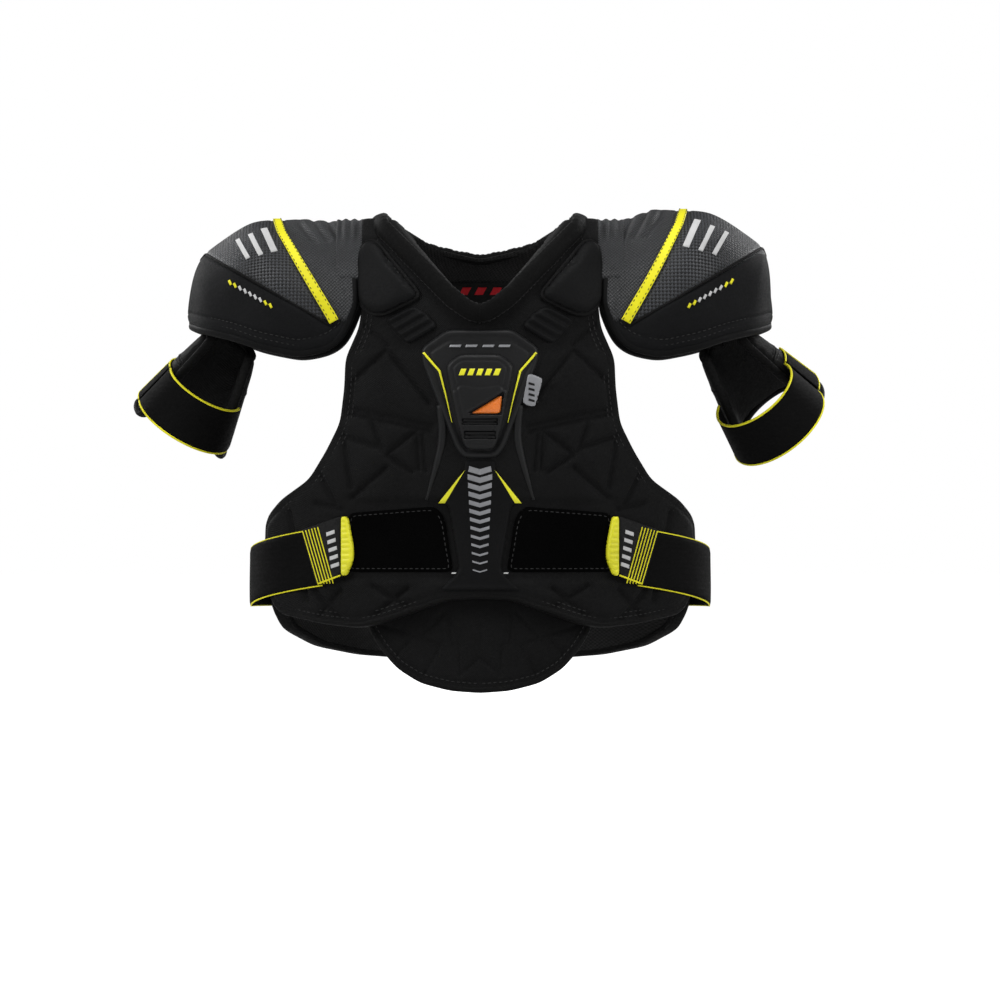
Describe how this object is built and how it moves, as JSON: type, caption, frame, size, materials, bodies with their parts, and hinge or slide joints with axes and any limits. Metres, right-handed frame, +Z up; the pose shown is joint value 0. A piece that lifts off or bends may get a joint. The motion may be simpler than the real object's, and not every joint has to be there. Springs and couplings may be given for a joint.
{
  "type": "hockey shoulder pads",
  "caption": "Padded ice-hockey chest and back vest with shoulder caps, upper-arm guards, sternum guard, belly flap and hook-and-loop straps.",
  "frame": {"origin": "middle of the neck opening, level with the shoulder ridge", "axes": "+Z up, -Y out of the wearer's chest, +X to the wearer's left"},
  "size_m": [0.6473, 0.2518, 0.447],
  "materials": {
    "knit_fabric": "matt knitted polyester",
    "liner_fabric": "brushed tricot",
    "foam": "closed-cell foam",
    "moulded_foam": "moulded EVA skin",
    "moulded_plastic": "matt polyethylene",
    "binding_tape": "woven tape",
    "collar_fabric": "stretch mesh over foam",
    "woven_label": "woven satin label",
    "elastic_rib": "ribbed elastic",
    "orange_gel": "soft rubber",
    "loop_pile": "looped pile",
    "silver_tag": "metallic woven tag",
    "elastic_webbing": "woven elastic with coloured edges",
    "cap_fabric": "coated woven fabric",
    "yellow_trim": "soft film",
    "yellow_rubber": "moulded rubber",
    "printed_tab": "printed rubber",
    "hook_tape": "hook tape"
  },
  "bodies": {
    "torso": {"chest_cover": "knit_fabric", "chest_plate": "moulded_plastic", "chest_foam": "foam", "chest_liner": "liner_fabric", "chest_binding": "binding_tape", "back_cover": "knit_fabric", "spine_plate": "moulded_plastic", "back_foam": "foam", "back_liner": "liner_fabric", "back_binding": "binding_tape", "neck_roll_front": "collar_fabric", "neck_roll_back": "collar_fabric", "neck_label": "woven_label", "rib_bands": "elastic_rib", "sternum_guard": "moulded_foam", "sternum_boss": "moulded_plastic", "sternum_gel": "orange_gel", "sternum_stem": "moulded_foam", "loop_patches": "loop_pile", "side_tag": "silver_tag", "waist_straps_rear": "elastic_webbing", "belly_loops": "loop_pile", "shoulder_webs": "knit_fabric"},
    "belly_flap": {"belly_pad": "knit_fabric", "belly_binding": "binding_tape"},
    "cap_left": {"cap_cover_left": "cap_fabric", "cap_shell_left": "moulded_plastic", "cap_foam_left": "foam", "cap_rim_left": "binding_tape", "cap_trim_left": "yellow_trim"},
    "arm_left": {"arm_cover_left": "knit_fabric", "arm_shell_left": "moulded_plastic", "arm_foam_left": "foam", "arm_liner_left": "liner_fabric", "arm_strap_left": "elastic_webbing"},
    "arm_tab_left": {"arm_tab_left": "elastic_webbing"},
    "waist_tab_left": {"waist_strap_front_left": "elastic_webbing", "waist_tab_left": "printed_tab", "waist_tip_left": "yellow_rubber", "waist_hook_left": "hook_tape"},
    "collarbone_left": {"collarbone_pad_left": "collar_fabric"},
    "cap_right": {"cap_cover_right": "cap_fabric", "cap_shell_right": "moulded_plastic", "cap_foam_right": "foam", "cap_rim_right": "binding_tape", "cap_trim_right": "yellow_trim"},
    "arm_right": {"arm_cover_right": "knit_fabric", "arm_shell_right": "moulded_plastic", "arm_foam_right": "foam", "arm_liner_right": "liner_fabric", "arm_strap_right": "elastic_webbing"},
    "arm_tab_right": {"arm_tab_right": "elastic_webbing"},
    "waist_tab_right": {"waist_strap_front_right": "elastic_webbing", "waist_tab_right": "printed_tab", "waist_tip_right": "yellow_rubber", "waist_hook_right": "hook_tape"},
    "collarbone_right": {"collarbone_pad_right": "collar_fabric"}
  },
  "joints": [
    {"name": "cap_lift_left", "type": "hinge", "parent": "torso", "child": "cap_left", "pos_m": [0.116, 0, 0.001], "axis": [0, -1, 0], "range_deg": [0, 45]},
    {"name": "arm_swing_left", "type": "hinge", "parent": "cap_left", "child": "arm_left", "pos_m": [0.226, 0, -0.103], "axis": [0, -1, 0], "range_deg": [-30, 0]},
    {"name": "arm_strap_peel_left", "type": "hinge", "parent": "arm_left", "child": "arm_tab_left", "pos_m": [0.2995, 0.0109, -0.1445], "axis": [0.7312, 0.334, -0.5948], "range_deg": [0, 70]},
    {"name": "waist_strap_peel_left", "type": "hinge", "parent": "torso", "child": "waist_tab_left", "pos_m": [0.204, -0.033, -0.33], "axis": [0, 0, 1], "range_deg": [0, 80]},
    {"name": "collarbone_lift_left", "type": "hinge", "parent": "torso", "child": "collarbone_left", "pos_m": [0.0737, -0.0866, -0.0452], "axis": [-0.5278, -0.5291, -0.6644], "range_deg": [0, 22]},
    {"name": "cap_lift_right", "type": "hinge", "parent": "torso", "child": "cap_right", "pos_m": [-0.116, 0, 0.001], "axis": [0, 1, 0], "range_deg": [0, 45]},
    {"name": "arm_swing_right", "type": "hinge", "parent": "cap_right", "child": "arm_right", "pos_m": [-0.232, 0, -0.103], "axis": [0, 1, 0], "range_deg": [-30, 0]},
    {"name": "arm_strap_peel_right", "type": "hinge", "parent": "arm_right", "child": "arm_tab_right", "pos_m": [-0.3031, 0.007, -0.1514], "axis": [0.6804, -0.238, 0.6931], "range_deg": [0, 70]},
    {"name": "waist_strap_peel_right", "type": "hinge", "parent": "torso", "child": "waist_tab_right", "pos_m": [-0.204, -0.033, -0.33], "axis": [0, 0, -1], "range_deg": [0, 80]},
    {"name": "collarbone_lift_right", "type": "hinge", "parent": "torso", "child": "collarbone_right", "pos_m": [-0.0737, -0.0866, -0.0452], "axis": [-0.5278, 0.5291, 0.6644], "range_deg": [0, 22]},
    {"name": "belly_flap_slide", "type": "slide", "parent": "torso", "child": "belly_flap", "axis": [0, 0, -1], "range_m": [0, 0.02]}
  ]
}
